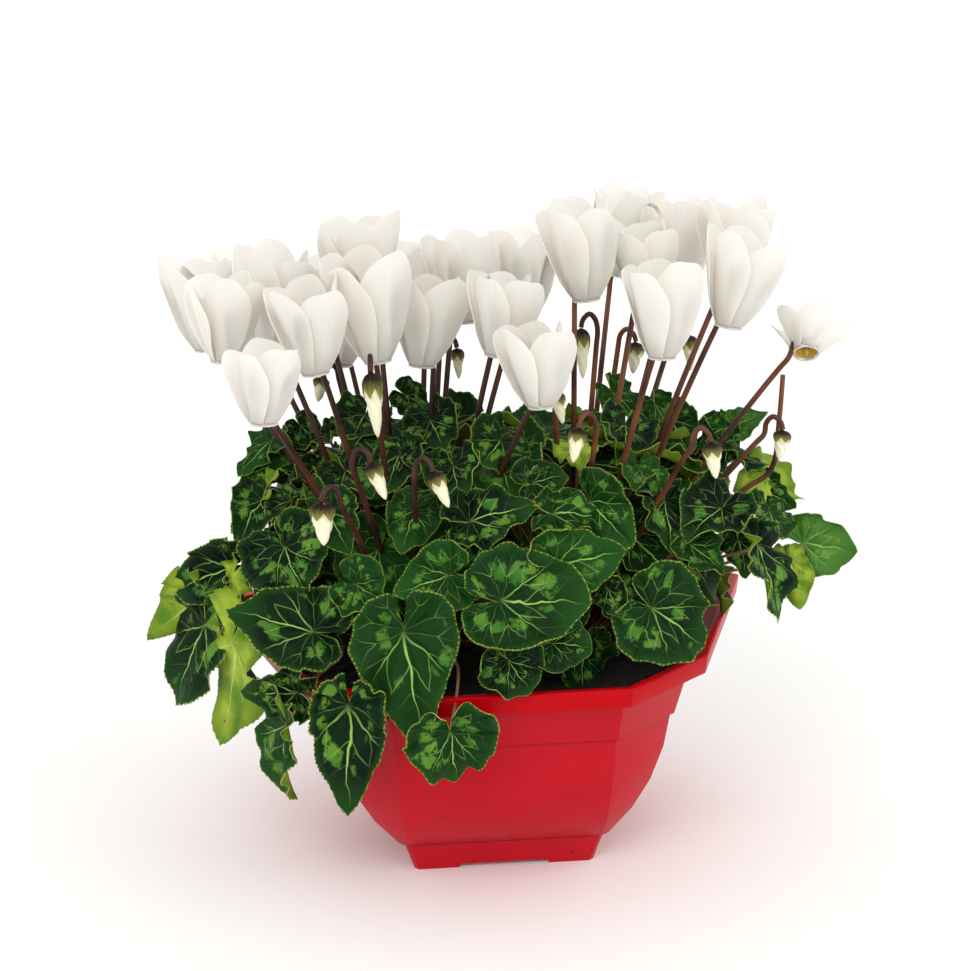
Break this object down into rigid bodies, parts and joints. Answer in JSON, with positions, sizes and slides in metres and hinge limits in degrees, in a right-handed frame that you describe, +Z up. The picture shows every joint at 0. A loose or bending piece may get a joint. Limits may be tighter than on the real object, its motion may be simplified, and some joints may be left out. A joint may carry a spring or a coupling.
{
  "type": "potted cyclamen",
  "caption": "Two white-flowered cyclamen plants with patterned heart-shaped leaves, growing together in a red eight-sided plastic bowl on a square foot.",
  "frame": {"origin": "on the floor under the middle of the bowl, at the middle of the bowl's flat underside", "axes": "+Z up; -Y towards the viewer and square to one wide face of the bowl; +X to the viewer's right"},
  "size_m": [0.4769, 0.3288, 0.4419],
  "materials": {
    "bowl_plastic": "moulded red plastic, glossy with a faint texture and a little dirt",
    "peat": "damp dark potting compost, crumbly",
    "stalk": "smooth red-brown flower stalks and corky corm",
    "leaf": "dark green leaf with lighter blotches and veins, waxy",
    "petal": "soft white petal",
    "bud": "cream furled petals with dark sepals"
  },
  "bodies": {
    "root": {"bloom_01": "petal", "bloom_02": "petal", "bloom_03": "petal", "bloom_04": "petal", "bloom_05": "petal", "bloom_06": "petal", "bloom_07": "petal", "bloom_08": "petal", "bloom_09": "petal", "bloom_10": "petal", "bloom_11": "petal", "bloom_12": "petal", "bloom_13": "petal", "bloom_14": "petal", "bloom_15": "petal", "bloom_16": "petal", "bloom_17": "petal", "bloom_18": "petal", "bloom_19": "petal", "bloom_20": "petal", "bloom_21": "petal", "bloom_22": "petal", "bloom_23": "petal", "bloom_24": "petal", "bud_01": "bud", "bud_02": "bud", "bud_03": "bud", "bud_04": "bud", "bud_05": "bud", "bud_06": "bud", "bud_07": "bud", "bud_08": "bud", "bud_09": "bud", "bud_10": "bud", "bud_11": "bud", "bud_12": "bud", "bud_13": "bud", "foliage": "leaf", "left_corm_and_stalks": "stalk", "pot": "bowl_plastic", "right_corm_and_stalks": "stalk", "soil": "peat"}
  },
  "joints": []
}
